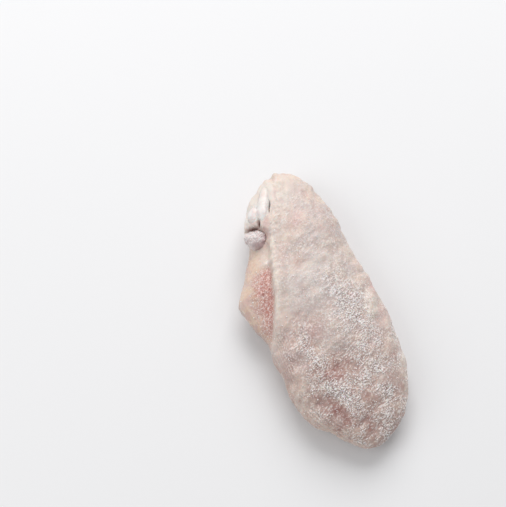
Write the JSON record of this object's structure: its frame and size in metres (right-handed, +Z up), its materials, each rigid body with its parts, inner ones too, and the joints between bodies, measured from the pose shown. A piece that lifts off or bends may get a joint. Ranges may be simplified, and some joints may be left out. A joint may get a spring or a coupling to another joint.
{
  "type": "raw chicken wing",
  "caption": "Raw frozen chicken wing, the flat middle joint, skin on: a domed pebbled back, a loose web of skin at one edge, and white gristle heads in the cut joint.",
  "frame": {"origin": "on the ground under the middle of the wing, at the bottom centre of its box", "axes": "+Y along the wing towards its cut elbow joint, +X towards the ulna's edge with the feather pits, +Z up out of the shown back"},
  "size_m": [0.0439, 0.0951, 0.0207],
  "materials": {
    "skin_and_meat": "matte frosted skin, cream to pink-grey",
    "gristle": "satin white gristle"
  },
  "bodies": {
    "root": {"skin_and_meat": "skin_and_meat", "ulna": "gristle", "radius": "gristle"}
  },
  "joints": []
}
